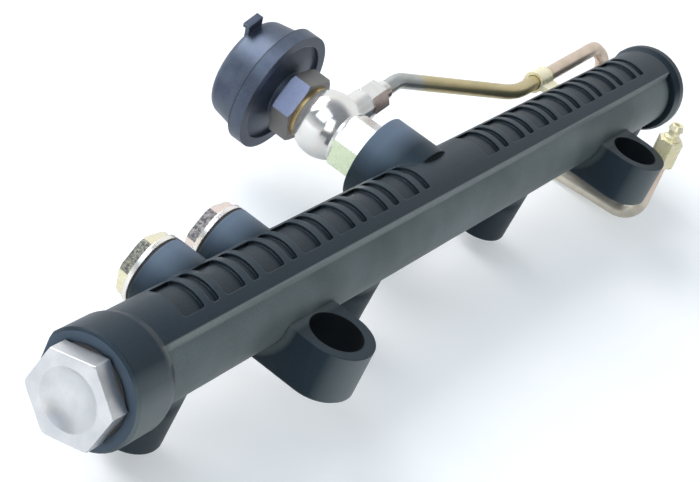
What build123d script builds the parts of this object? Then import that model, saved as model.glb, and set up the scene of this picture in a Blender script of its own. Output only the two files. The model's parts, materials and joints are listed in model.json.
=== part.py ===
"""Fuel rail of a four-cylinder petrol engine, with its feed line and pulsation damper.

Frame: the origin lies midway between the two mount holes, on the seating faces of their ears,
+X runs along the rail from its plugged end, +Z is the axis of the mount holes (the injectors
hang down from the rail), +Y points at the side that carries the ports, the feed line and the
damper. The sizes are measured from the centre of the bore at the plugged end, and each
finished piece is moved by `datum` to the frame above. All sizes are millimetres.
"""
from build123d import *
from math import cos, radians, sin
import os

os.makedirs("parts", exist_ok=True)

# ---- clearances -------------------------------------------------------------------------
thread_gap = 0.12            # radial room left where a thread would be
slip_gap = 0.15              # a pipe in the nut, clip or sleeve around it
level_match = 0.01           # an edge this near a height counts as lying on it

# ---- rail -------------------------------------------------------------------------------
tube_radius = 11.8
band_radius = 13.7           # raised pad along the top and the back
band_front = -6.8            # its upright front wall
band_foot = -4.6             # its lower edge at the back
back_flat = 12.8             # machined face behind the rail
collar_radius = 14.6
near_collar = 14.5
far_collar = 6.0
collar_ramp = 2.6
collar_round = 4.0
collar_bevel = 0.7
bore_radius = 7.0
end_wall = 8.0               # solid far end
plug_thread_radius = 8.5
plug_thread_depth = 13.0

# ---- injector cups ----------------------------------------------------------------------
cup_count = 4
cup_pitch = 90.0
first_cup = 29.5
far_margin = 12.5            # from the last cup's centre to the rail's far end
cup_root_radius = 9.3
cup_mouth_radius = 8.6
cup_bottom = -26.0
cup_bore_radius = 6.8
cup_bore_depth = 13.0
cup_lead_in = 0.9
cup_passage_radius = 3.0
cup_edge = 0.8

# ---- mount ears -------------------------------------------------------------------------
ear_first = 75.5
ear_pitch = 186.0
ear_reach = 19.8             # hole centre in front of the bore
ear_radius = 10.4
ear_top = 1.0
ear_height = 14.7
ear_edge = 0.8
mount_hole_radius = 7.25

# ---- side ports and the feed boss -------------------------------------------------------
port_places = (50.0, 77.5)
port_radius = 10.0
port_end = 19.0
port_thread_radius = 6.5
port_thread_depth = 11.0
port_passage_radius = 3.5
feed_place = 156.0
feed_height = 1.2            # the feed axis lies this much above the bore
feed_boss_radius = 13.3
feed_boss_root = 5.0
feed_boss_end = 21.2
feed_thread_radius = 6.0
feed_thread_depth = 11.5

# ---- recessed ornament on the band ------------------------------------------------------
slot_tilt = 15.0             # the row lies turned back from the top by this angle
slot_depth = 0.9
slot_length = 13.0
slot_slant = 4.0
wide_slot = 8.4
thin_slot = 3.4
slot_corner = 0.9
slot_gap = 2.5
slot_groups = ((25.0, 158.0), (174.0, 297.0))    # where each group starts and ends

# ---- end plug ---------------------------------------------------------------------------
end_seal_thickness = 0.5
end_seal_radius = 11.2
end_hex_flats = 21.0
end_hex_height = 5.2
end_hex_turn = 42.9
end_hex_edge = 0.5
end_plug_length = 11.0
end_plug_socket = 5.0
dimple_radius = 7.8
dimple_ball = 13.0

# ---- port plugs -------------------------------------------------------------------------
port_seal_thickness = 0.8
port_seal_radius = 9.7
port_flange_radius = 9.9
port_flange_thickness = 1.3
port_hex_flats = 15.8
port_hex_height = 3.3
port_hex_turn = 52.6
port_hex_edge = 0.7
port_plug_length = 9.0
port_plug_hollow = 3.4

# ---- feed adapter, washers and banjo eye ------------------------------------------------
adapter_seal_thickness = 0.8
adapter_seal_radius = 8.4
adapter_hex_flats = 15.8
adapter_hex_length = 9.0
adapter_hex_turn = 43.9
adapter_hex_edge = 0.7
adapter_shank_length = 9.5
bolt_thread_radius = 4.6
bolt_thread_depth = 9.0
bolt_end_gap = 1.0           # free thread beyond the bolt's end
washer_radius = 8.2
washer_thickness = 0.9
eye_length = 12.5
eye_ball_radius = 10.2
eye_bore_radius = 5.2
eye_groove_radius = 6.4
eye_groove_length = 5.0
outlet_turn = 14.0           # how far the outlet leans up from the rail's direction
outlet_offset = 1.3          # the outlet sits nearer the rail than the eye's middle
outlet_reach = 15.5
outlet_radius = 4.9
outlet_thread_radius = 3.9
outlet_thread_depth = 8.0
outlet_passage_radius = 1.6

# ---- damper -----------------------------------------------------------------------------
bolt_bore_radius = 2.0
bolt_window_radius = 1.5
damper_hex_flats = 18.8
damper_hex_height = 6.5
damper_hex_turn = 57.7
damper_hex_edge = 0.8
neck_radius = 7.2
neck_length = 2.4
rim_gap = 0.6                # from the end of the neck to the rim
rim_radius = 18.9
rim_thickness = 4.5
rim_wall = 1.0
base_flange_thickness = 1.4
base_dish_radius = 14.8
diaphragm_thickness = 0.5
shell_wall = 1.2
cap_root_radius = 17.2
cap_end_radius = 15.3
cap_height = 10.7
cap_round = 3.0
lug_turn = 112.0             # where the lug stands on the cap's rim
lug_width = 6.0
lug_reach = 3.4
lug_thickness = 1.4
lug_height = 1.8
lug_back = 0.5               # how far the lug stands out behind the cap
seat_radius = 8.6
seat_thickness = 1.0
seat_collar = 1.2
spring_radius = 6.6
spring_wire_radius = 0.7
spring_turns = 4.0
chamber_depth = 2.4

# ---- feed pipe --------------------------------------------------------------------------
pipe_radius = 2.4
pipe_bore_radius = 1.7
flare_radius = 3.3
flare_length = 1.2
nut_flats = 8.8
nut_length = 7.2
nut_edge = 0.5
nut_shank_length = 5.0
sleeve_radius = 3.05
sleeve_length = 4.0
first_bend = 33.5            # along the outlet's axis from the eye's centre
behind_bend = (239.6, 18.2, 4.0)
far_bend = (307.0, 20.9, 3.6)
side_bend = (319.5, 17.0, -3.5)
down_bend = (305.0, 16.8, -25.0)
ear_pipe_gap = 1.7           # from the far ear's side to the pipe that passes it
# the last three points are measured along the rail from the pipe's place beside that ear
under_bend = (0.0, 12.0, -28.8)
front_bend = (0.3, -27.6, -26.6)
pipe_end = (0.6, -25.2, 2.0)
bend_radii = (9.0, 30.0, 7.0, 9.0, 9.0, 9.0, 7.5)

# ---- pipe clip --------------------------------------------------------------------------
clip_place = 258.0
clip_width = 8.0
clip_wall = 1.0
clip_foot_drop = 4.2
screw_drop = 2.3
screw_head_radius = 2.3
screw_head_height = 1.8
screw_radius = 1.4
screw_length = 4.5
screw_socket_flats = 2.0
screw_socket_depth = 1.0

# ---- outlet fitting ---------------------------------------------------------------------
union_flats = 7.6
union_length = 9.4
union_overlap = 6.4          # how much of the pipe's end the union holds
union_edge = 0.5
nipple_bore = 1.1
nipple_shoulder = 2.9
shoulder_thickness = 1.0
nipple_waist = 1.9
nipple_bead = 2.5
bead_place = 3.6             # from the shoulder's foot to the bead's edge
nipple_taper = 0.5
nipple_length = 5.4

# ---- places worked out from the sizes above ---------------------------------------------
hex_corner = 1 / cos(radians(30))        # corner radius over half the flats
cup_places = [first_cup + cup_pitch * i for i in range(cup_count)]
rail_length = cup_places[-1] + far_margin
ear_places = [ear_first, ear_first + ear_pitch]
adapter_start = feed_boss_end + adapter_seal_thickness
lower_washer_start = adapter_start + adapter_hex_length
eye_start = lower_washer_start + washer_thickness
eye_centre = eye_start + eye_length / 2
upper_washer_start = eye_start + eye_length
damper_start = upper_washer_start + washer_thickness
neck_start = damper_start + damper_hex_height
rim_start = neck_start + neck_length + rim_gap
rim_end = rim_start + rim_thickness
cap_end = rim_end + cap_height
datum = Location((-ear_first - ear_pitch / 2, ear_reach, ear_height - ear_top))
outlet_way = Vector(cos(radians(outlet_turn)), 0, sin(radians(outlet_turn)))
outlet_root = Vector(feed_place, eye_centre - outlet_offset, feed_height)


def behind(x, y, turn=0.0, z=0.0):
    """A plane whose normal is +Y, turned about it by `turn` from +X towards +Z."""
    across = (cos(radians(turn)), 0, sin(radians(turn)))
    return Plane(origin=(x, y, z), x_dir=across, z_dir=(0, 1, 0))


def feed(y, turn=0.0):
    """A plane across the feed axis, where the adapter, the banjo eye and the damper sit."""
    return behind(feed_place, y, turn, feed_height)


def turned(points, at):
    """A solid turned about the normal of plane `at`; points are (radius, height above it)."""
    with BuildPart() as solid:
        with BuildSketch(Plane(at.origin, x_dir=at.x_dir, z_dir=-at.y_dir)):
            with BuildLine():
                Polyline(*points, close=True)
            make_face()
        revolve(axis=Axis(at.origin, at.z_dir))
    return solid.part


def ring(inner, outer, height, at):
    """A flat ring standing on plane `at`."""
    return turned([(inner, 0), (outer, 0), (outer, height), (inner, height)], at)


def hexagon(flats, height, at, far_edge, near_edge=0.0):
    """A hexagon head on plane `at`, its corners turned off at the far face or at both."""
    corner = flats / 2 * hex_corner
    with BuildPart() as solid:
        with BuildSketch(at):
            RegularPolygon(radius=corner, side_count=6)
        extrude(amount=height)
        add(turned([(0, 0), (corner, 0), (corner, height - far_edge / 2),
                    (corner - far_edge, height), (0, height)], at), mode=Mode.INTERSECT)
        if near_edge:
            add(turned([(0, 0), (corner - near_edge, 0), (corner, near_edge / 2),
                        (corner, height), (0, height)], at), mode=Mode.INTERSECT)
    return solid.part


# ---- rail body --------------------------------------------------------------------------
with BuildPart() as slots:
    slot_plane = Plane(origin=(0, 0, 0), x_dir=(1, 0, 0),
                       z_dir=(0, sin(radians(slot_tilt)), cos(radians(slot_tilt))))
    with BuildSketch(slot_plane.offset(band_radius / 2)):
        pair_pitch = wide_slot + thin_slot + 2 * slot_gap
        for start, end in slot_groups:
            for pair in range(int((end - start) / pair_pitch)):
                at_wide = start + pair * pair_pitch
                at_thin = at_wide + wide_slot + slot_gap
                for left, width in ((at_wide, wide_slot), (at_thin, thin_slot)):
                    with BuildLine():
                        Polyline((left, -slot_length / 2), (left + width, -slot_length / 2),
                                 (left + width + slot_slant, slot_length / 2),
                                 (left + slot_slant, slot_length / 2), close=True)
                    make_face()
    extrude(amount=band_radius)
    fillet(slots.edges().filter_by(Axis((0, 0, 0), slot_plane.z_dir)), radius=slot_corner)
    with BuildSketch(Plane.YZ):
        Circle(band_radius - slot_depth)
    extrude(amount=rail_length, mode=Mode.SUBTRACT)

with BuildPart() as rail_body:
    with BuildSketch(Plane.YZ):
        Circle(tube_radius)
    extrude(amount=rail_length)
    with BuildSketch(Plane.YZ):
        Circle(band_radius)
        with Locations(((band_front + band_radius) / 2, (band_foot + band_radius) / 2)):
            Rectangle(band_radius - band_front, band_radius - band_foot, mode=Mode.INTERSECT)
    extrude(amount=rail_length)
    # collars at both ends, with a soft ramp down to the band
    with BuildSketch(Plane.XY) as collars:
        with BuildLine():
            Polyline((0, 0), (0, collar_radius - collar_bevel), (collar_bevel, collar_radius),
                     (near_collar - collar_ramp, collar_radius), (near_collar, band_radius),
                     (near_collar, 0), close=True)
        make_face()
        with BuildLine():
            Polyline((rail_length - far_collar, 0), (rail_length - far_collar, band_radius),
                     (rail_length - far_collar + collar_ramp, collar_radius),
                     (rail_length - collar_bevel, collar_radius),
                     (rail_length, collar_radius - collar_bevel), (rail_length, 0), close=True)
        make_face()
        shoulder = near_collar - collar_ramp
        fillet(collars.vertices().filter_by_position(Axis.X, shoulder, shoulder), collar_round)
    revolve(axis=Axis.X)
    with BuildSketch(behind(rail_length / 2, back_flat)):
        Rectangle(2 * rail_length, 4 * collar_radius)
    extrude(amount=collar_radius, mode=Mode.SUBTRACT)
    # mount ears
    with BuildSketch(Plane.XY.offset(ear_top - ear_height)):
        with Locations(*[(x, -ear_reach) for x in ear_places]):
            Circle(ear_radius)
        with Locations(*[(x, -ear_reach / 2) for x in ear_places]):
            Rectangle(2 * ear_radius, ear_reach)
    extrude(amount=ear_height)
    # injector cups
    with Locations(*[(x, 0, cup_bottom) for x in cup_places]):
        Cone(cup_mouth_radius, cup_root_radius, -cup_bottom - tube_radius / 2,
             align=(Align.CENTER, Align.CENTER, Align.MIN))
    # ports and feed boss
    for x in port_places:
        with BuildSketch(behind(x, 0)):
            Circle(port_radius)
        extrude(amount=port_end)
    with BuildSketch(feed(feed_boss_root)):
        Circle(feed_boss_radius)
    extrude(amount=feed_boss_end - feed_boss_root)
    ear_rim = rail_body.edges().filter_by(GeomType.CIRCLE).filter_by(
        lambda e: abs(e.center().Z - (ear_top - ear_height)) < level_match and e.radius == ear_radius)
    chamfer(ear_rim, ear_edge)
    cup_rim = rail_body.edges().filter_by(GeomType.CIRCLE).filter_by(
        lambda e: abs(e.center().Z - cup_bottom) < level_match)
    fillet(cup_rim, cup_edge)
    # main bore, drilled from the near end
    add(turned([(0, 0), (plug_thread_radius, 0), (plug_thread_radius, plug_thread_depth),
                (bore_radius, plug_thread_depth + plug_thread_radius - bore_radius),
                (bore_radius, rail_length - end_wall - bore_radius / 2),
                (0, rail_length - end_wall)], Plane.YZ), mode=Mode.SUBTRACT)
    # mount holes
    with Locations(*[(x, -ear_reach, ear_top) for x in ear_places]):
        Hole(mount_hole_radius, depth=ear_height)
    # injector bores with their lead-in, and the passage up to the main bore
    for x in cup_places:
        add(turned([(0, 0), (cup_bore_radius + cup_lead_in, 0), (cup_bore_radius, 2 * cup_lead_in),
                    (cup_bore_radius, cup_bore_depth), (cup_passage_radius, cup_bore_depth),
                    (cup_passage_radius, -cup_bottom), (0, -cup_bottom)],
                   Plane(origin=(x, 0, cup_bottom))), mode=Mode.SUBTRACT)
    # tapped side ports and the feed port
    ports = [(behind(x, port_end), port_thread_radius, port_thread_depth) for x in port_places]
    ports.append((feed(feed_boss_end), feed_thread_radius, feed_thread_depth))
    for mouth, thread, depth in ports:
        with BuildSketch(mouth):
            Circle(thread)
        extrude(amount=-depth, mode=Mode.SUBTRACT)
        with BuildSketch(mouth):
            Circle(port_passage_radius)
        extrude(amount=-port_end, mode=Mode.SUBTRACT)
    # tapped hole of the clip screw
    with BuildSketch(behind(clip_place, back_flat - screw_length - screw_radius, z=-screw_drop)):
        Circle(screw_radius + thread_gap)
    extrude(amount=screw_length + 2 * screw_radius, mode=Mode.SUBTRACT)
    add(slots.part, mode=Mode.SUBTRACT)
rail_body.part.label = "rail_body"
rail_body.part.move(datum)
export_step(rail_body.part, "parts/rail_body.step")

# ---- end plug and its seal --------------------------------------------------------------
near_face = Plane(origin=(0, 0, 0), x_dir=(0, cos(radians(end_hex_turn)), sin(radians(end_hex_turn))),
                  z_dir=(-1, 0, 0))
plug_shank = plug_thread_radius - thread_gap
with BuildPart() as end_plug_seal:
    add(ring(plug_shank + slip_gap, end_seal_radius, end_seal_thickness, near_face))
end_plug_seal.part.label = "end_plug_seal"
end_plug_seal.part.move(datum)
export_step(end_plug_seal.part, "parts/end_plug_seal.step")

with BuildPart() as end_plug:
    head = near_face.offset(end_seal_thickness)
    add(hexagon(end_hex_flats, end_hex_height, head, end_hex_edge))
    add(ring(end_plug_socket, plug_shank, end_plug_length, near_face.offset(-end_plug_length)))
    with BuildSketch(near_face):
        Circle(plug_shank)
    extrude(amount=end_seal_thickness)
    ball_height = end_seal_thickness + end_hex_height + (dimple_ball ** 2 - dimple_radius ** 2) ** 0.5
    with Locations((-ball_height, 0, 0)):
        Sphere(dimple_ball, mode=Mode.SUBTRACT)
end_plug.part.label = "end_plug"
end_plug.part.move(datum)
export_step(end_plug.part, "parts/end_plug.step")

# ---- port plugs and their seals ---------------------------------------------------------
port_shank = port_thread_radius - thread_gap
for side, x in zip(("front", "rear"), port_places):
    seat = behind(x, port_end, port_hex_turn)
    with BuildPart() as port_seal:
        add(ring(port_shank + slip_gap, port_seal_radius, port_seal_thickness, seat))
    with BuildPart() as port_plug:
        add(ring(port_plug_hollow, port_shank, port_plug_length + port_seal_thickness,
                 seat.offset(-port_plug_length)))
        with BuildSketch(seat.offset(port_seal_thickness)):
            Circle(port_flange_radius)
        extrude(amount=port_flange_thickness)
        add(hexagon(port_hex_flats, port_hex_height,
                    seat.offset(port_seal_thickness + port_flange_thickness),
                    port_hex_edge))
    port_seal.part.label = f"port_seal_{side}"
    port_seal.part.move(datum)
    export_step(port_seal.part, f"parts/port_seal_{side}.step")
    port_plug.part.label = f"port_plug_{side}"
    port_plug.part.move(datum)
    export_step(port_plug.part, f"parts/port_plug_{side}.step")

# ---- feed adapter, its seal and the banjo washers ---------------------------------------
adapter_shank = feed_thread_radius - thread_gap
adapter_seat = feed(adapter_start, adapter_hex_turn)
with BuildPart() as adapter_seal:
    add(ring(adapter_shank + slip_gap, adapter_seal_radius, adapter_seal_thickness,
             feed(feed_boss_end)))
adapter_seal.part.label = "adapter_seal"
adapter_seal.part.move(datum)
export_step(adapter_seal.part, "parts/adapter_seal.step")

with BuildPart() as feed_adapter:
    add(hexagon(adapter_hex_flats, adapter_hex_length, adapter_seat, adapter_hex_edge))
    with BuildSketch(adapter_seat):
        Circle(adapter_shank)
    extrude(amount=-(adapter_shank_length + adapter_seal_thickness))
    add(turned([(0, 0), (bolt_thread_radius, 0), (bolt_thread_radius, -bolt_thread_depth),
                (bolt_bore_radius, -bolt_thread_depth - bolt_bore_radius),
                (bolt_bore_radius, -adapter_hex_length - adapter_shank_length - adapter_seal_thickness),
                (0, -adapter_hex_length - adapter_shank_length - adapter_seal_thickness)],
               adapter_seat.offset(adapter_hex_length)), mode=Mode.SUBTRACT)
feed_adapter.part.label = "feed_adapter"
feed_adapter.part.move(datum)
export_step(feed_adapter.part, "parts/feed_adapter.step")

bolt_radius = bolt_thread_radius - thread_gap
with BuildPart() as lower_banjo_washer:
    add(ring(bolt_radius + slip_gap, washer_radius, washer_thickness,
             feed(lower_washer_start)))
lower_banjo_washer.part.label = "lower_banjo_washer"
lower_banjo_washer.part.move(datum)
export_step(lower_banjo_washer.part, "parts/lower_banjo_washer.step")

with BuildPart() as upper_banjo_washer:
    add(ring(bolt_radius + slip_gap, washer_radius, washer_thickness,
             feed(upper_washer_start)))
upper_banjo_washer.part.label = "upper_banjo_washer"
upper_banjo_washer.part.move(datum)
export_step(upper_banjo_washer.part, "parts/upper_banjo_washer.step")

# ---- banjo eye --------------------------------------------------------------------------
outlet = Plane(origin=outlet_root, x_dir=(0, 1, 0), z_dir=outlet_way)
with BuildPart() as banjo_eye:
    with BuildSketch(Plane.XY.offset(feed_height)):
        with Locations((feed_place, eye_centre)):
            Circle(eye_ball_radius)
        with Locations((feed_place - eye_ball_radius, eye_centre)):
            Rectangle(2 * eye_ball_radius, eye_length, mode=Mode.INTERSECT)
    revolve(axis=Axis((feed_place, 0, feed_height), (0, 1, 0)))
    with BuildSketch(outlet):
        Circle(outlet_radius)
    extrude(amount=outlet_reach)
    groove_start = (eye_length - eye_groove_length) / 2 - outlet_offset
    groove_end = groove_start + eye_groove_length
    add(turned([(0, 0), (eye_bore_radius, 0), (eye_bore_radius, groove_start),
                (eye_groove_radius, groove_start + eye_groove_radius - eye_bore_radius),
                (eye_groove_radius, groove_end - eye_groove_radius + eye_bore_radius),
                (eye_bore_radius, groove_end), (eye_bore_radius, eye_length),
                (0, eye_length)], feed(eye_start)), mode=Mode.SUBTRACT)
    thread_root = outlet_reach - outlet_thread_depth
    with BuildSketch(outlet):
        Circle(outlet_passage_radius)
    extrude(amount=outlet_reach, mode=Mode.SUBTRACT)
    with BuildSketch(outlet.offset(thread_root)):
        Circle(outlet_thread_radius)
    extrude(amount=outlet_thread_depth, mode=Mode.SUBTRACT)
banjo_eye.part.label = "banjo_eye"
banjo_eye.part.move(datum)
export_step(banjo_eye.part, "parts/banjo_eye.step")

# ---- damper: base with its hollow bolt, diaphragm, seat, spring, crimped cap ------------
damper_axis = feed(0)
flange_inner = rim_radius - rim_wall
flange_start = rim_start + rim_wall
diaphragm_start = flange_start + base_flange_thickness
cap_flange_start = diaphragm_start + diaphragm_thickness
bolt_start = lower_washer_start - bolt_thread_depth + bolt_end_gap
with BuildPart() as damper_base:
    add(turned([(0, bolt_start), (bolt_radius, bolt_start), (bolt_radius, damper_start),
                (neck_radius, damper_start), (neck_radius, neck_start + neck_length),
                (base_dish_radius, flange_start), (flange_inner, flange_start),
                (flange_inner, diaphragm_start), (base_dish_radius, diaphragm_start),
                (seat_radius, diaphragm_start - chamber_depth), (0, diaphragm_start - chamber_depth)],
               damper_axis))
    add(hexagon(damper_hex_flats, damper_hex_height,
                feed(damper_start, damper_hex_turn), damper_hex_edge, damper_hex_edge))
    with BuildSketch(feed(bolt_start)):
        Circle(bolt_bore_radius)
    extrude(amount=diaphragm_start - bolt_start, mode=Mode.SUBTRACT)
    # cross hole that lets fuel into the banjo's groove
    with BuildSketch(Plane.YZ.offset(feed_place)):
        with Locations((eye_centre - outlet_offset, feed_height)):
            Circle(bolt_window_radius)
    extrude(amount=bolt_radius + bolt_bore_radius, both=True, mode=Mode.SUBTRACT)
damper_base.part.label = "damper_base"
damper_base.part.move(datum)
export_step(damper_base.part, "parts/damper_base.step")

with BuildPart() as damper_diaphragm:
    with BuildSketch(feed(diaphragm_start)):
        Circle(flange_inner)
    extrude(amount=diaphragm_thickness)
damper_diaphragm.part.label = "damper_diaphragm"
damper_diaphragm.part.move(datum)
export_step(damper_diaphragm.part, "parts/damper_diaphragm.step")

with BuildPart() as damper_spring_seat:
    add(turned([(0, 0), (seat_radius, 0), (seat_radius, seat_thickness + seat_collar),
                (seat_radius - seat_thickness, seat_thickness + seat_collar),
                (seat_radius - seat_thickness, seat_thickness), (0, seat_thickness)],
               feed(cap_flange_start)))
damper_spring_seat.part.label = "damper_spring_seat"
damper_spring_seat.part.move(datum)
export_step(damper_spring_seat.part, "parts/damper_spring_seat.step")

spring_start = cap_flange_start + seat_thickness + spring_wire_radius
spring_height = cap_end - shell_wall - spring_wire_radius - spring_start
with BuildPart() as damper_spring:
    with BuildLine() as coil:
        Helix(spring_height / spring_turns, spring_height, spring_radius,
              center=(feed_place, spring_start, feed_height), direction=(0, 1, 0))
    with BuildSketch(Plane(coil.line @ 0, z_dir=coil.line % 0)):
        Circle(spring_wire_radius)
    sweep(is_frenet=True)
damper_spring.part.label = "damper_spring"
damper_spring.part.move(datum)
export_step(damper_spring.part, "parts/damper_spring.step")

with BuildPart() as damper_cap:
    add(turned([(base_dish_radius + rim_wall, rim_start), (rim_radius, rim_start),
                (rim_radius, rim_end), (cap_root_radius, rim_end),
                (cap_end_radius, cap_end), (0, cap_end), (0, cap_end - shell_wall),
                (cap_end_radius - shell_wall, cap_end - shell_wall),
                (cap_root_radius - shell_wall, cap_flange_start),
                (flange_inner, cap_flange_start), (flange_inner, flange_start),
                (base_dish_radius + rim_wall, flange_start)], damper_axis))
    end_rim = damper_cap.edges().filter_by(GeomType.CIRCLE).sort_by(Axis.Y)[-1]
    fillet(end_rim, cap_round)
    # lug bent out of the cap's end
    with BuildSketch(feed(cap_end - lug_height, lug_turn)):
        with Locations((cap_end_radius + (lug_reach - shell_wall) / 2, 0)):
            Rectangle(lug_reach + shell_wall, lug_width)
    extrude(amount=lug_thickness)
    with BuildSketch(feed(cap_end - lug_height, lug_turn)):
        with Locations((cap_end_radius + lug_reach - lug_thickness / 2, 0)):
            Rectangle(lug_thickness, lug_width)
    extrude(amount=lug_height + lug_back)
damper_cap.part.label = "damper_cap"
damper_cap.part.move(datum)
export_step(damper_cap.part, "parts/damper_cap.step")

# ---- feed pipe with its nut and sleeve --------------------------------------------------
nut_seat = outlet.offset(outlet_reach)
with BuildPart() as pipe_nut:
    add(hexagon(nut_flats, nut_length, nut_seat, nut_edge, nut_edge))
    with BuildSketch(nut_seat):
        Circle(outlet_thread_radius - thread_gap)
    extrude(amount=-nut_shank_length)
    with BuildSketch(nut_seat.offset(-nut_shank_length)):
        Circle(pipe_radius + slip_gap)
    extrude(amount=nut_shank_length + nut_length, mode=Mode.SUBTRACT)
pipe_nut.part.label = "pipe_nut"
pipe_nut.part.move(datum)
export_step(pipe_nut.part, "parts/pipe_nut.step")

with BuildPart() as pipe_sleeve:
    add(turned([(pipe_radius + slip_gap, 0), (sleeve_radius, 0),
                (sleeve_radius, sleeve_length - nut_edge),
                (sleeve_radius - nut_edge / 2, sleeve_length),
                (pipe_radius + slip_gap, sleeve_length)], nut_seat.offset(nut_length)))
pipe_sleeve.part.label = "pipe_sleeve"
pipe_sleeve.part.move(datum)
export_step(pipe_sleeve.part, "parts/pipe_sleeve.step")

pipe_start = outlet_root + outlet_way * (outlet_reach - nut_shank_length - flare_length)
beside_ear = Vector(ear_places[-1] + ear_radius + ear_pipe_gap + pipe_radius, 0, 0)
front_corner = beside_ear + Vector(*front_bend)
pipe_finish = beside_ear + Vector(*pipe_end)
pipe_route = [pipe_start, outlet_root + outlet_way * first_bend, Vector(*behind_bend),
              Vector(*far_bend), Vector(*side_bend), Vector(*down_bend),
              beside_ear + Vector(*under_bend), front_corner, pipe_finish]
with BuildPart() as feed_pipe:
    with BuildLine() as route:
        FilletPolyline(*pipe_route, radius=bend_radii)
    with BuildSketch(Plane(pipe_start, z_dir=outlet_way)):
        Circle(pipe_radius)
        Circle(pipe_bore_radius, mode=Mode.SUBTRACT)
    sweep()
    add(ring(pipe_bore_radius, flare_radius, flare_length, Plane(pipe_start, z_dir=outlet_way)))
feed_pipe.part.label = "feed_pipe"
feed_pipe.part.move(datum)
export_step(feed_pipe.part, "parts/feed_pipe.step")

# ---- pipe clip and its screw ------------------------------------------------------------
along = (clip_place - behind_bend[0]) / (far_bend[0] - behind_bend[0])
clip_y = behind_bend[1] + along * (far_bend[1] - behind_bend[1])
clip_z = behind_bend[2] + along * (far_bend[2] - behind_bend[2])
pipe_way = Vector(*far_bend) - Vector(*behind_bend)
clip_hole = pipe_radius + slip_gap
clip_bottom = -screw_drop - clip_foot_drop / 2
with BuildPart() as pipe_clip:
    with BuildSketch(Plane.YZ.offset(clip_place - clip_width / 2)):
        with Locations((clip_y, clip_z)):
            Circle(clip_hole + clip_wall)
        with Locations(((back_flat + clip_y) / 2, clip_z)):
            Rectangle(clip_y - back_flat, clip_wall * 2)
        with Locations((back_flat + clip_wall / 2, (clip_bottom + clip_z + clip_wall) / 2)):
            Rectangle(clip_wall, clip_z + clip_wall - clip_bottom)
    extrude(amount=clip_width)
    with BuildSketch(Plane((clip_place, clip_y, clip_z), z_dir=pipe_way)):
        Circle(clip_hole)
    extrude(amount=clip_width, both=True, mode=Mode.SUBTRACT)
    with BuildSketch(behind(clip_place, back_flat, z=-screw_drop)):
        Circle(screw_radius + slip_gap)
    extrude(amount=clip_wall, mode=Mode.SUBTRACT)
pipe_clip.part.label = "pipe_clip"
pipe_clip.part.move(datum)
export_step(pipe_clip.part, "parts/pipe_clip.step")

screw_seat = behind(clip_place, back_flat + clip_wall, z=-screw_drop)
with BuildPart() as clip_screw:
    with BuildSketch(screw_seat):
        Circle(screw_head_radius)
    extrude(amount=screw_head_height)
    with BuildSketch(screw_seat):
        Circle(screw_radius)
    extrude(amount=-(screw_length + clip_wall))
    with BuildSketch(screw_seat.offset(screw_head_height - screw_socket_depth)):
        RegularPolygon(radius=screw_socket_flats / 2 * hex_corner, side_count=6)
    extrude(amount=screw_socket_depth, mode=Mode.SUBTRACT)
clip_screw.part.label = "clip_screw"
clip_screw.part.move(datum)
export_step(clip_screw.part, "parts/clip_screw.step")

# ---- union nut and nipple at the pipe's front end ---------------------------------------
pipe_tip = Plane(pipe_finish, z_dir=pipe_finish - front_corner)
with BuildPart() as union_nut:
    add(hexagon(union_flats, union_length, pipe_tip.offset(-union_overlap), union_edge, union_edge))
    with BuildSketch(pipe_tip.offset(-union_overlap)):
        Circle(pipe_radius + slip_gap)
    extrude(amount=union_length, mode=Mode.SUBTRACT)
union_nut.part.label = "union_nut"
union_nut.part.move(datum)
export_step(union_nut.part, "parts/union_nut.step")

union_lip = union_length - union_overlap
waist_start = union_lip + shoulder_thickness + nipple_taper
bead_start = union_lip + bead_place
nipple_end = union_lip + nipple_length
with BuildPart() as outlet_nipple:
    add(turned([(nipple_bore, 0), (pipe_radius, 0), (pipe_radius, union_lip),
                (nipple_shoulder, union_lip), (nipple_shoulder, waist_start - nipple_taper),
                (nipple_waist, waist_start), (nipple_waist, bead_start - nipple_taper),
                (nipple_bead, bead_start), (nipple_waist, nipple_end), (nipple_bore, nipple_end)],
               pipe_tip))
outlet_nipple.part.label = "outlet_nipple"
outlet_nipple.part.move(datum)
export_step(outlet_nipple.part, "parts/outlet_nipple.step")
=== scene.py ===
import json
import math

import bpy
from mathutils import Matrix, Vector


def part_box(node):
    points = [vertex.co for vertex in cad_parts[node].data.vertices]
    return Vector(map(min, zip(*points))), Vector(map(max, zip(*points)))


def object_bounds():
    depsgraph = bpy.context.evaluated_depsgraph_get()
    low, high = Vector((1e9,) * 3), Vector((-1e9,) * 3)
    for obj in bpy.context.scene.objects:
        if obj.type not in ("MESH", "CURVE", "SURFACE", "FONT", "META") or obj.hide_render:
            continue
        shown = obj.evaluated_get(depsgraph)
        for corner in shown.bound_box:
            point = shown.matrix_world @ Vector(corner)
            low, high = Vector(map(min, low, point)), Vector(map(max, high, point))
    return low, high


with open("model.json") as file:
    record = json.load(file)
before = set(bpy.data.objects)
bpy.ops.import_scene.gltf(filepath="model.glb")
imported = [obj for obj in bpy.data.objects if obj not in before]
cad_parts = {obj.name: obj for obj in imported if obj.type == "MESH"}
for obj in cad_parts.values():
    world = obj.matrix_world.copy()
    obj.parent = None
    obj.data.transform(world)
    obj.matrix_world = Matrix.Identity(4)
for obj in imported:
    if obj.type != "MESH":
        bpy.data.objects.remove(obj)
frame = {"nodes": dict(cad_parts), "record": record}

start_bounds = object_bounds()
MM = 0.001

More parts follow.
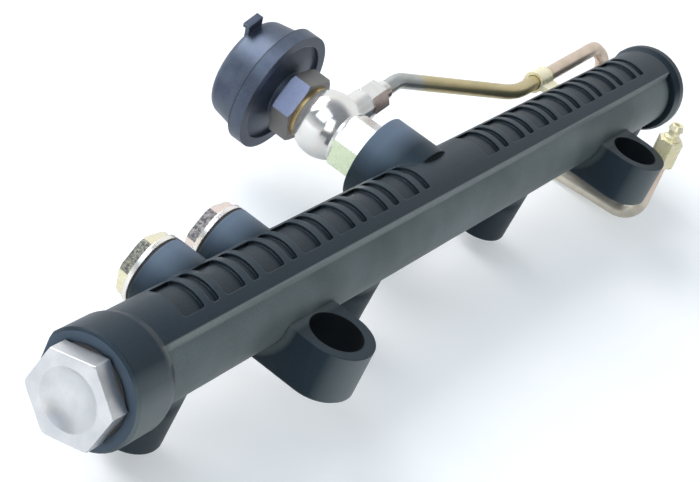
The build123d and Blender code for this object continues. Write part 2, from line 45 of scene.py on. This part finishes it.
# ---- places on the part, in the row frame -----------------------------------------------
BORE = Vector((-168.5, 19.8, 13.7)) * MM          # the bore's centre at the plugged end
FEED_AXIS = BORE + Vector((156.0, 0.0, 1.2)) * MM
PORTS_X = BORE.x + 63.75 * MM                     # midway between the two side ports
PAST_PORTS = PORTS_X + 30.0 * MM                  # beyond both port plugs
TUBE_RADIUS = 11.8 * MM
POCKET_RADIUS = 12.8 * MM                         # the floors of the recessed ornament
BAND_FRONT = BORE.y - 6.8 * MM                    # the band's upright front wall
WALL_FOOT = BORE.z + 9.45 * MM                    # just under where it meets the tube
NEAR_COLLAR_END = BORE.x + 14.5 * MM
FAR_COLLAR_START = BORE.x + 306.0 * MM
BOSS_START = BORE.y + 10.0 * MM                   # about where the bosses leave the band
CUP_START = BORE.z - 13.0 * MM                    # a little below the tube
EAR_X = 93.0 * MM                                 # either side of the row frame's origin
HOLE_RADIUS = 7.25 * MM
PORT_HEX_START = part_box("port_plug_front")[1][1] - 3.3 * MM
DAMPER_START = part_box("upper_banjo_washer")[1][1]
COAT_START = DAMPER_START + 7.0 * MM              # just past the damper's hexagon
DAMPER_SEAM = DAMPER_START + 14.0 * MM            # the far edge of the damper's rim
EYE_MIDDLE = DAMPER_START - 7.0 * MM              # between the two banjo washers
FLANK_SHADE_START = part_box("pipe_nut")[0][0] + 4.0 * MM  # where the painted flank shade starts, clear of the banjo eye's ball
PIPE_GREY_END = BORE.x + 194.0 * MM
PIPE_GOLD_END = BORE.x + 252.0 * MM               # just before the clip
PIPE_LOW = BORE.z - 24.0 * MM

# the directions that single faces of the hexagons look along
PORT_FACE = (-0.79, 0.0, 0.61)
ADAPTER_FACE = (-0.97, 0.0, -0.24)
NUT_FLANK = (-0.12, -0.87, 0.49)

EDGE_MM = 0.35                                    # the usual rounding of a machined edge


# ---- node helpers -----------------------------------------------------------------------
def node(tree, kind, settings=None, **inputs):
    """A shader node; inputs are values or sockets, named by socket or by _number."""
    made = tree.nodes.new("ShaderNode" + kind)
    for key, value in (settings or {}).items():
        setattr(made, key, value)
    for key, value in inputs.items():
        socket = made.inputs[int(key[1:])] if key.startswith("_") else made.inputs[key]
        if isinstance(value, bpy.types.NodeSocket):
            tree.links.new(value, socket)
        else:
            socket.default_value = value
    return made


def material(name):
    """A new material with its tree and its Principled shader."""
    made = bpy.data.materials.new(name)
    made.use_nodes = True
    tree = made.node_tree
    return made, tree, tree.nodes["Principled BSDF"]


def put(tree, shader, **inputs):
    """Sets or links the shader's inputs, with _ for the spaces in their names."""
    for key, value in inputs.items():
        socket = shader.inputs[key.replace("_", " ")]
        if isinstance(value, bpy.types.NodeSocket):
            tree.links.new(value, socket)
        else:
            socket.default_value = value


def rgba(colour):
    """The colour at full opacity, as a socket takes it."""
    return (*colour, 1.0)


def brighter(colour):
    """The tone of a rubbed edge on a metal of this colour."""
    return rgba(tuple(min(1.0, part * 1.15) for part in colour))


def maths(tree, operation, one, other=0.0):
    """The outcome of a Math node on one or two values."""
    return node(tree, "Math", {"operation": operation}, _0=one, _1=other).outputs[0]


def times(tree, *factors):
    """The product of several values."""
    product = factors[0]
    for factor in factors[1:]:
        product = maths(tree, "MULTIPLY", product, factor)
    return product


def flipped(tree, mask):
    """1 where the mask is 0, and 0 where it is 1."""
    return maths(tree, "SUBTRACT", 1.0, mask)


def spread(tree, value, low, high, start=0.3, end=0.7):
    """Goes from low to high as the value goes from start to end."""
    return node(tree, "MapRange", {"clamp": True}, Value=value, _1=start, _2=end,
                _3=low, _4=high).outputs[0]


def rise(tree, value, start, end):
    """0 up to start, and 1 from end on."""
    return spread(tree, value, 0.0, 1.0, start, end)


def fall(tree, value, start, end):
    """1 up to start, and 0 from end on."""
    return spread(tree, value, 1.0, 0.0, start, end)


def blend(tree, factor, one, other):
    """A colour between two; either may be a socket."""
    mix = node(tree, "Mix", {"data_type": "RGBA"})
    for index, value in ((0, factor), (6, one), (7, other)):
        if isinstance(value, bpy.types.NodeSocket):
            tree.links.new(value, mix.inputs[index])
        else:
            mix.inputs[index].default_value = value
    return mix.outputs[2]


def noise(tree, size_mm, detail=3.0, rough=0.5, stretch=(1.0, 1.0, 1.0), seed=0.0):
    """Noise of about that feature size, in object space."""
    where = node(tree, "TexCoord").outputs["Object"]
    mapped = node(tree, "Mapping", Vector=where, Location=(seed, seed * 0.7, seed * 1.3),
                  Scale=stretch).outputs[0]
    return node(tree, "TexNoise", Vector=mapped, Scale=1.0 / (size_mm * MM), Detail=detail,
                Roughness=rough).outputs[0]


def position(tree):
    """The object-space place as its three numbers, in metres."""
    where = node(tree, "TexCoord").outputs["Object"]
    return node(tree, "SeparateXYZ", Vector=where).outputs


def distance(tree, one, centre_one, other, centre_other):
    """How far a place lies from an axis, from the two numbers across it."""
    first = maths(tree, "SUBTRACT", one, centre_one)
    second = maths(tree, "SUBTRACT", other, centre_other)
    squares = maths(tree, "ADD", times(tree, first, first), times(tree, second, second))
    return maths(tree, "SQRT", squares)


def facing(tree, way, low, high):
    """1 on the faces that look along a direction of the object, 0 on the others."""
    normal = node(tree, "NewGeometry").outputs["Normal"]
    dot = node(tree, "VectorMath", {"operation": "DOT_PRODUCT"}, _0=normal, _1=way)
    return rise(tree, dot.outputs["Value"], low, high)


def edge_normal(tree, radius_mm):
    """Normals that round the edges by about this radius."""
    return node(tree, "Bevel", {"samples": 6}, Radius=radius_mm * MM).outputs[0]


def bump(tree, height, depth_mm, normal=None, strength=1.0):
    """Normals of a relief of that depth, over other normals where they are given."""
    made = node(tree, "Bump", Height=height, Distance=depth_mm * MM, Strength=strength)
    if normal:
        tree.links.new(normal, made.inputs["Normal"])
    return made.outputs[0]


def wear(tree, radius_mm):
    """1 on the sharp edges, 0 elsewhere, from how the rounded normal leaves the plain one."""
    rounded = edge_normal(tree, radius_mm)
    plain = node(tree, "NewGeometry").outputs["Normal"]
    dot = node(tree, "VectorMath", {"operation": "DOT_PRODUCT"}, _0=rounded, _1=plain)
    return rise(tree, flipped(tree, dot.outputs["Value"]), 0.06, 0.25)


# ---- the rail's coat --------------------------------------------------------------------
def cast_tone_and_floor_light(tree, base, place, radius):
    """The tube and the near collar's low front are greyer and cloudy, partly the cast finish and
    partly painted light from the floor; the band's wall is lighter, a painted highlight.
    """
    x, y, z = place
    below_band = fall(tree, y, BAND_FRONT, BAND_FRONT + 0.5 * MM)
    past_collar = rise(tree, x, NEAR_COLLAR_END - 2.5 * MM, NEAR_COLLAR_END + 2.5 * MM)
    before_far = fall(tree, x, FAR_COLLAR_START - 1.5 * MM, FAR_COLLAR_START - 0.5 * MM)
    on_tube = times(tree, past_collar, before_far)
    near_tube = fall(tree, radius, TUBE_RADIUS + 0.4 * MM, TUBE_RADIUS + 2.6 * MM)
    low_side = fall(tree, y, BORE.y - 14.0 * MM, BORE.y - 8.5 * MM)
    on_collar = times(tree, low_side, flipped(tree, past_collar), 0.9)
    cast = maths(tree, "MAXIMUM", times(tree, near_tube, on_tube, below_band), on_collar)
    # greyer cloudy cast tone, partly painted light from the floor
    cloud = rise(tree, noise(tree, 38.0, 3.0, seed=5.0), 0.38, 0.62)
    dull = blend(tree, cloud, rgba((0.090, 0.116, 0.118)), rgba((0.165, 0.200, 0.205)))
    base = blend(tree, cast, base, dull)
    # painted highlight on the band's upright wall
    over_tube = rise(tree, z, WALL_FOOT, WALL_FOOT + 0.35 * MM)
    wall = times(tree, below_band, on_tube, over_tube)
    return blend(tree, wall, base, rgba((0.230, 0.270, 0.270)))


def pocket_shade(tree, base, place, radius):
    """Painted shade: the floors of the recessed ornament are darker than the band."""
    y, z = place[1], place[2]
    low = fall(tree, radius, POCKET_RADIUS + 0.2 * MM, POCKET_RADIUS + 0.6 * MM)
    on_top = spread(tree, z, 0.0, 0.55, BORE.z + 7.0 * MM, BORE.z + 8.0 * MM)
    on_band = rise(tree, y, BAND_FRONT, BAND_FRONT + 0.5 * MM)
    # painted shade on the pocket floors
    return blend(tree, times(tree, low, on_top, on_band), base, rgba((0.003, 0.005, 0.008)))


def painted_side_light(tree, base, place):
    """Painted light: a bluer painted reflection on boss tops, greyer painted light from the floor on
    the fronts of ears, collars and cups, a bluer painted reflection on the near end face.
    """
    x, y, z = place
    # painted reflection on the boss tops
    on_boss = rise(tree, y, BOSS_START, BOSS_START + 7.0 * MM)
    top = times(tree, on_boss, facing(tree, (0.0, 0.0, 1.0), 0.05, 0.95))
    base = blend(tree, top, base, rgba((0.110, 0.146, 0.200)))
    # painted light from the floor on the fronts of ears, collars and cups
    in_front = fall(tree, y, BORE.y - 14.0 * MM, BORE.y - 12.0 * MM)
    on_cup = spread(tree, z, 0.25, 0.0, CUP_START - 2.0 * MM, CUP_START)
    front = times(tree, maths(tree, "MAXIMUM", in_front, on_cup),
                  facing(tree, (0.0, -1.0, 0.0), 0.35, 1.0))
    base = blend(tree, front, base, rgba((0.155, 0.182, 0.187)))
    # painted reflection on the near end face
    end_face = times(tree, facing(tree, (-1.0, 0.0, 0.0), 0.90, 0.99),
                     fall(tree, x, BORE.x + MM, BORE.x + 2.0 * MM))
    return blend(tree, end_face, base, rgba((0.062, 0.086, 0.120)))


def ear_holes(tree, place):
    """1 inside the two mount holes, 0 elsewhere."""
    inside = []
    for ear_x in (-EAR_X, EAR_X):
        across = distance(tree, place[0], ear_x, place[1], 0.0)
        inside.append(fall(tree, across, HOLE_RADIUS + 0.05 * MM, HOLE_RADIUS + 0.25 * MM))
    return maths(tree, "MAXIMUM", inside[0], inside[1])


def rail_paint():
    """Satin black coat: blue-black on the machined band, greyer on the cast tube and lighter there
    partly as painted light from the floor.
    """
    made, tree, shader = material("rail_paint")
    place = position(tree)
    radius = distance(tree, place[1], BORE.y, place[2], BORE.z)
    cloud = noise(tree, 24.0, 4.0)
    grain = noise(tree, 0.45, 3.0, 0.6, seed=3.0)
    peel = noise(tree, 2.6, 2.0, seed=7.0)
    base = blend(tree, spread(tree, cloud, 0.0, 1.0), rgba((0.0080, 0.0160, 0.0250)),
                 rgba((0.0145, 0.0240, 0.0330)))
    base = cast_tone_and_floor_light(tree, base, place, radius)
    base = pocket_shade(tree, base, place, radius)
    base = blend(tree, spread(tree, grain, 0.0, 0.3, 0.45, 0.75), base, rgba((0.040, 0.050, 0.058)))
    base = painted_side_light(tree, base, place)
    scuffs = spread(tree, noise(tree, 5.0, 4.0, seed=11.0), 0.05, 0.45, 0.4, 0.65)
    base = blend(tree, times(tree, wear(tree, 0.45), scuffs), base, rgba((0.080, 0.098, 0.108)))
    # painted shade: the insides of the mount holes are near black
    hole = ear_holes(tree, place)
    base = blend(tree, hole, base, rgba((0.0012, 0.0016, 0.0020)))
    # painted shade in creases and recesses, from ambient occlusion
    crevice = node(tree, "AmbientOcclusion", {"samples": 6}, Distance=3.0 * MM).outputs["AO"]
    open_air = spread(tree, crevice, 0.12, 1.0, 0.35, 0.85)
    base = blend(tree, open_air, rgba((0.002, 0.003, 0.004)), base)
    rough = maths(tree, "ADD", spread(tree, cloud, 0.38, 0.46), times(tree, hole, 0.3))
    normal = bump(tree, peel, 0.05, edge_normal(tree, 0.5), 0.35)
    normal = bump(tree, grain, 0.02, normal, 0.5)
    put(tree, shader, Base_Color=base, Roughness=rough, Normal=normal, Specular_IOR_Level=0.32,
        Specular_Tint=rgba((0.68, 0.88, 1.0)))
    return made


# ---- the other materials ----------------------------------------------------------------
def turned_metal(name, light, dark, rough_low, rough_high, across, origin, pitch_mm, streaks):
    """Machined metal: turning lines round an axis, cloudy tone, brighter edges.

    `across` is 1 along the two directions across the axis and 0 along it."""
    made, tree, shader = material(name)
    where = node(tree, "TexCoord").outputs["Object"]
    centred = node(tree, "VectorMath", {"operation": "SUBTRACT"}, _0=where, _1=origin).outputs[0]
    flat = node(tree, "VectorMath", {"operation": "MULTIPLY"}, _0=centred, _1=across).outputs[0]
    radius = node(tree, "VectorMath", {"operation": "LENGTH"}, _0=flat).outputs["Value"]
    wave = maths(tree, "SINE", times(tree, radius, 2 * math.pi / (pitch_mm * MM)))
    cloud = noise(tree, 6.0, 4.0, seed=2.0)
    streak = noise(tree, 0.5, 3.0, 0.6, seed=5.0)
    tone = blend(tree, spread(tree, cloud, 0.0, 1.0), rgba(light), rgba(dark))
    tone = blend(tree, spread(tree, streak, 0.0, streaks, 0.4, 0.7), tone, rgba(dark))
    tone = blend(tree, wear(tree, EDGE_MM), tone, brighter(light))
    normal = bump(tree, wave, 0.004, edge_normal(tree, EDGE_MM), 0.25)
    normal = bump(tree, streak, 0.006, normal, 0.4)
    put(tree, shader, Base_Color=tone, Roughness=spread(tree, cloud, rough_low, rough_high),
        Metallic=1.0, Normal=normal)
    return made


def plug_metal():
    """The end plug: pale turned metal, its lines round the bore's axis."""
    return turned_metal("plug_steel", (0.80, 0.81, 0.82), (0.66, 0.67, 0.69), 0.30, 0.42,
                        (0.0, 1.0, 1.0), tuple(BORE), 0.35, 0.35)


def spring_metal():
    """The damper's inner pieces: darker turned metal, round the feed's axis."""
    return turned_metal("spring_steel", (0.56, 0.57, 0.60), (0.38, 0.39, 0.42), 0.25, 0.40,
                        (1.0, 0.0, 1.0), tuple(FEED_AXIS), 0.4, 0.25)


def mottled(tree, light, middle, dull):
    """Three tones of plating that drift into each other, and the mottle for their shine."""
    drift = noise(tree, 6.0, 3.0, seed=1.0)
    mottle = noise(tree, 3.0, 4.0, 0.6, seed=4.0)
    tone = blend(tree, rise(tree, drift, 0.36, 0.64), rgba(light), rgba(middle))
    return blend(tree, spread(tree, mottle, 0.0, 0.7, 0.5, 0.72), tone, rgba(dull)), mottle


def speckled(tree, tone, colour, strength):
    """Fine darker specks over a tone, and their noise for the relief."""
    specks = noise(tree, 0.6, 2.0, 0.5, seed=9.0)
    dark = rgba(tuple(part * 0.6 for part in colour))
    return blend(tree, spread(tree, specks, 0.0, strength, 0.6, 0.74), tone, dark), specks


def port_plating():
    """Pale passivated plating: yellow front plug, pink rear plug, whiter adapter.

    Both plugs have a pale flange and dark speckled blotches on one face. One face of the adapter
    has a painted greenish reflection."""
    light, middle = (0.95, 0.90, 0.68), (0.95, 0.86, 0.54)
    made, tree, shader = material("plated_steel")
    x, y = position(tree)[0], position(tree)[1]
    tone, mottle = mottled(tree, light, middle, (0.95, 0.92, 0.86))
    rear_plug = spread(tree, x, 0.0, 0.75, PORTS_X - MM, PORTS_X + MM)
    tone = blend(tree, rear_plug, tone, rgba((0.94, 0.77, 0.76)))
    at_adapter = spread(tree, x, 0.0, 0.85, PAST_PORTS, PAST_PORTS + 10.0 * MM)
    tone = blend(tree, at_adapter, tone, rgba((0.93, 0.94, 0.90)))
    # painted reflection: one face of the adapter greenish
    green_reflection = times(tree, at_adapter, facing(tree, ADAPTER_FACE, 0.90, 0.97))
    tone = blend(tree, green_reflection, tone, rgba((0.80, 0.92, 0.62)))
    tone, specks = speckled(tree, tone, middle, 0.2)
    on_flange = fall(tree, y, PORT_HEX_START - 0.15 * MM, PORT_HEX_START)
    tone = blend(tree, times(tree, on_flange, 0.85), tone, rgba((0.96, 0.93, 0.92)))
    # dark speckled blotches on the plugs' faces that look along PORT_FACE
    blotches = spread(tree, noise(tree, 0.8, 4.0, 0.75, seed=13.0), 0.70, 1.0, 0.40, 0.58)
    dark_blotches = times(tree, blotches, flipped(tree, on_flange), flipped(tree, at_adapter),
                  facing(tree, PORT_FACE, 0.90, 0.96))
    tone = blend(tree, dark_blotches, tone, rgba((0.085, 0.078, 0.078)))
    tone = blend(tree, wear(tree, EDGE_MM), tone, brighter(light))
    put(tree, shader, Base_Color=tone, Roughness=spread(tree, mottle, 0.20, 0.34), Metallic=0.8,
        Normal=bump(tree, specks, 0.006, edge_normal(tree, EDGE_MM), 0.3))
    return made


def yellow_plating():
    """Pale yellow passivated plating on the clip, its screw, the union nut and the nipple."""
    light, middle = (0.95, 0.88, 0.62), (0.90, 0.84, 0.50)
    made, tree, shader = material("yellow_plating")
    tone, mottle = mottled(tree, light, middle, (0.93, 0.82, 0.72))
    tone, specks = speckled(tree, tone, middle, 0.1)
    tone = blend(tree, wear(tree, EDGE_MM), tone, brighter(light))
    put(tree, shader, Base_Color=tone, Roughness=spread(tree, mottle, 0.22, 0.36), Metallic=0.4,
        Normal=bump(tree, specks, 0.006, edge_normal(tree, EDGE_MM), 0.3))
    return made


def eye_metal():
    """Bright plating on the eye, the nut and the sleeve; the last two are browner in front, a
    painted shade.
    """
    made, tree, shader = material("bright_steel")
    tone, mottle = mottled(tree, (0.94, 0.93, 0.90), (0.88, 0.87, 0.84), (0.92, 0.85, 0.79))
    at_nut = rise(tree, position(tree)[0], FLANK_SHADE_START, FLANK_SHADE_START + 0.5 * MM)
    # painted shade: a browner flank on the nut and the sleeve
    shaded_flank = times(tree, at_nut, facing(tree, NUT_FLANK, 0.85, 0.95))
    tone = blend(tree, shaded_flank, tone, rgba((0.52, 0.42, 0.38)))
    tone = blend(tree, wear(tree, EDGE_MM), tone, rgba((0.97, 0.97, 0.96)))
    put(tree, shader, Base_Color=tone, Roughness=spread(tree, mottle, 0.12, 0.22), Metallic=0.8,
        Normal=bump(tree, mottle, 0.006, edge_normal(tree, EDGE_MM), 0.3))
    return made


def washer_metal():
    """Soft sealing washers: bare brass at the damper, tinned and paler at the adapter."""
    made, tree, shader = material("soft_brass")
    tarnish = noise(tree, 2.0, 4.0, 0.6, seed=4.0)
    patches = spread(tree, tarnish, 0.0, 1.0)
    brass = blend(tree, patches, rgba((0.80, 0.62, 0.30)), rgba((0.60, 0.43, 0.20)))
    tinned = blend(tree, patches, rgba((0.90, 0.90, 0.88)), rgba((0.78, 0.76, 0.72)))
    at_damper = rise(tree, position(tree)[1], EYE_MIDDLE - MM, EYE_MIDDLE + MM)
    put(tree, shader, Base_Color=blend(tree, at_damper, tinned, brass), Metallic=0.9,
        Roughness=spread(tree, tarnish, 0.24, 0.38), Normal=bump(tree, tarnish, 0.01, None, 0.4))
    return made


def damper_finish():
    """Blue-black coat on the damper's shell, bare grey steel on its hexagon, one face bluer as
    painted light.
    """
    made, tree, shader = material("damper_steel")
    y = position(tree)[1]
    cloud = noise(tree, 7.0, 4.0, seed=2.0)
    fine = noise(tree, 0.5, 3.0, 0.6, seed=5.0)
    patches = spread(tree, cloud, 0.0, 1.0)
    shell = blend(tree, patches, rgba((0.050, 0.066, 0.110)), rgba((0.095, 0.120, 0.165)))
    bare = blend(tree, patches, rgba((0.15, 0.145, 0.14)), rgba((0.22, 0.21, 0.20)))
    # painted light: one face of the hexagon bluer
    bare = blend(tree, facing(tree, PORT_FACE, 0.90, 0.97), bare, rgba((0.30, 0.33, 0.48)))
    on_hex = fall(tree, y, COAT_START, COAT_START + 0.6 * MM)
    tone = blend(tree, on_hex, shell, bare)
    from_seam = maths(tree, "ABSOLUTE", maths(tree, "SUBTRACT", y, DAMPER_SEAM))
    seam = spread(tree, from_seam, 0.9, 0.0, 0.15 * MM, 0.55 * MM)
    tone = blend(tree, seam, tone, rgba((0.010, 0.013, 0.020)))
    tone = blend(tree, spread(tree, fine, 0.0, 0.25, 0.45, 0.7), tone, rgba((0.14, 0.16, 0.19)))
    tone = blend(tree, times(tree, wear(tree, 0.4), 0.6), tone, rgba((0.30, 0.34, 0.38)))
    put(tree, shader, Base_Color=tone, Roughness=spread(tree, cloud, 0.34, 0.46), Metallic=0.55,
        Normal=bump(tree, fine, 0.006, edge_normal(tree, 0.4), 0.4))
    return made


def pipe_finish():
    """Plating on the bent pipe: grey by the nut, olive gold, pinker past the clip, pale low down."""
    made, tree, shader = material("pipe_plating")
    place = position(tree)
    mottle = noise(tree, 5.0, 3.0, 0.5, seed=6.0)
    streak = noise(tree, 1.6, 3.0, 0.5, (0.12, 1.0, 1.0), seed=2.0)
    grain = noise(tree, 0.4, 2.0, 0.5, seed=8.0)
    to_gold = rise(tree, place[0], PIPE_GREY_END, PIPE_GREY_END + 5.0 * MM)
    to_pink = rise(tree, place[0], PIPE_GOLD_END, PIPE_GOLD_END + 18.0 * MM)
    tone = blend(tree, to_gold, rgba((0.50, 0.53, 0.53)), rgba((0.62, 0.52, 0.28)))
    tone = blend(tree, to_pink, tone, rgba((0.78, 0.62, 0.50)))
    low = spread(tree, place[2], 0.8, 0.0, PIPE_LOW, PIPE_LOW + 12.0 * MM)
    tone = blend(tree, low, tone, rgba((0.86, 0.84, 0.74)))
    tone = blend(tree, spread(tree, mottle, 0.0, 0.35, 0.45, 0.65), tone, rgba((0.52, 0.47, 0.32)))
    tone = blend(tree, spread(tree, streak, 0.0, 0.25, 0.5, 0.7), tone, rgba((0.80, 0.73, 0.58)))
    normal = bump(tree, grain, 0.006, bump(tree, streak, 0.01, None, 0.3), 0.3)
    put(tree, shader, Base_Color=tone, Roughness=spread(tree, mottle, 0.28, 0.38), Metallic=0.85,
        Normal=normal)
    return made


def rubber():
    """Black sealing rubber, slightly dusty."""
    made, tree, shader = material("seal_black")
    dust = noise(tree, 1.2, 4.0, 0.6)
    tone = blend(tree, spread(tree, dust, 0.0, 1.0), rgba((0.012, 0.012, 0.013)),
                 rgba((0.030, 0.030, 0.031)))
    put(tree, shader, Base_Color=tone, Roughness=spread(tree, dust, 0.55, 0.75),
        Normal=bump(tree, dust, 0.03, edge_normal(tree, 0.2), 0.4))
    return made


def dress():
    """Gives each CAD node the material of its slot in the record."""
    slots = {
        "rail_paint": rail_paint(),
        "plug_steel": plug_metal(),
        "seal_black": rubber(),
        "plated_steel": port_plating(),
        "soft_brass": washer_metal(),
        "bright_steel": eye_metal(),
        "damper_steel": damper_finish(),
        "spring_steel": spring_metal(),
        "pipe_plating": pipe_finish(),
        "yellow_plating": yellow_plating(),
    }
    for part in frame["record"]["subparts"]:
        shown = frame["nodes"][part["node"]]
        shown.data.materials.clear()
        shown.data.materials.append(slots[part["material_slot"]])


# ---- floor, light and camera ------------------------------------------------------------
FLOOR_DROP = 0.2 * MM
FLOOR_HALF = 4.0


def floor():
    """A pale floor under the lowest point, with a slight glow for the camera and reflections."""
    low = start_bounds[0][2] - FLOOR_DROP
    corners = [(across * FLOOR_HALF, along * FLOOR_HALF, low)
               for across, along in ((-1, -1), (1, -1), (1, 1), (-1, 1))]
    mesh = bpy.data.meshes.new("studio_floor")
    mesh.from_pydata(corners, [], [(0, 1, 2, 3)])
    piece = bpy.data.objects.new("studio_floor", mesh)
    bpy.context.scene.collection.objects.link(piece)
    made, tree, shader = material("studio_floor")
    soft = spread(tree, noise(tree, 60.0, 2.0), 0.0, 1.0)
    base = blend(tree, soft, rgba((0.76, 0.755, 0.75)), rgba((0.80, 0.795, 0.79)))
    glow = blend(tree, soft, rgba((0.86, 0.94, 1.0)), rgba((0.90, 0.96, 1.0)))
    path = node(tree, "LightPath")
    to_camera = times(tree, path.outputs["Is Camera Ray"], 0.36)
    to_metal = times(tree, path.outputs["Is Glossy Ray"], 0.12)
    put(tree, shader, Base_Color=base, Roughness=0.85, Specular_IOR_Level=0.1,
        Emission_Color=glow, Emission_Strength=maths(tree, "ADD", to_metal, to_camera))
    mesh.materials.append(made)


def lamp(name, place, width, height, power, colour):
    """A rectangular soft light that looks at the origin; sizes in metres, power in watts."""
    data = bpy.data.lights.new(name, "AREA")
    data.shape = "RECTANGLE"
    data.size = width
    data.size_y = height
    data.energy = power
    data.color = colour
    made = bpy.data.objects.new(name, data)
    bpy.context.scene.collection.objects.link(made)
    made.location = place
    made.rotation_euler = (-Vector(place)).to_track_quat("-Z", "Y").to_euler()


def room():
    """A white backdrop behind the far end and a dim room on the other sides, white to the camera."""
    world = bpy.data.worlds.new("studio")
    bpy.context.scene.world = world
    world.use_nodes = True
    tree = world.node_tree
    way = node(tree, "TexCoord").outputs["Generated"]
    height = node(tree, "SeparateXYZ", Vector=way).outputs[2]
    toward = node(tree, "VectorMath", {"operation": "DOT_PRODUCT"}, _0=way, _1=(0.943, 0.332, 0.0))
    dim = blend(tree, rise(tree, height, 0.05, 0.40), rgba((0.66, 0.68, 0.68)),
                rgba((0.10, 0.115, 0.14)))
    backdrop = blend(tree, rise(tree, height, 0.75, 1.0), rgba((0.84, 0.86, 0.87)),
                     rgba((0.20, 0.22, 0.25)))
    around = blend(tree, rise(tree, toward.outputs["Value"], 0.15, 0.55), dim, backdrop)
    seen = node(tree, "LightPath").outputs["Is Camera Ray"]
    background = tree.nodes["Background"]
    tree.links.new(blend(tree, seen, around, rgba((1.0, 1.0, 1.0))), background.inputs["Color"])
    background.inputs["Strength"].default_value = 1.0


def camera():
    """The photograph's own view: its direction, distance and lens."""
    data = bpy.data.cameras.new("main_camera")
    data.sensor_width = 36.0
    data.lens = 100.2
    data.clip_start = 0.01
    made = bpy.data.objects.new("main_camera", data)
    bpy.context.scene.collection.objects.link(made)
    right = Vector((0.509868, -0.767779, 0.388008))
    down = Vector((-0.275288, -0.572944, -0.771979))
    ahead = Vector((0.815016, 0.286793, -0.503486))
    place = BORE + Vector((-304.167, -145.823, 258.713)) * MM
    turn = Matrix((right, -down, -ahead)).transposed().to_4x4()
    made.matrix_world = Matrix.Translation(place) @ turn
    bpy.context.scene.camera = made


dress()
floor()
room()
lamp("key_box", (-0.15, 0.95, 0.85), 1.0, 0.8, 15.0, (0.97, 0.98, 1.0))
lamp("side_box", (-0.9, -0.5, 0.6), 0.5, 0.8, 3.0, (1.0, 0.99, 0.97))
lamp("top_box", (-0.75, 0.20, 0.86), 0.8, 0.8, 4.0, (0.76, 0.88, 1.0))
camera()
bpy.context.scene.view_settings.view_transform = "Standard"
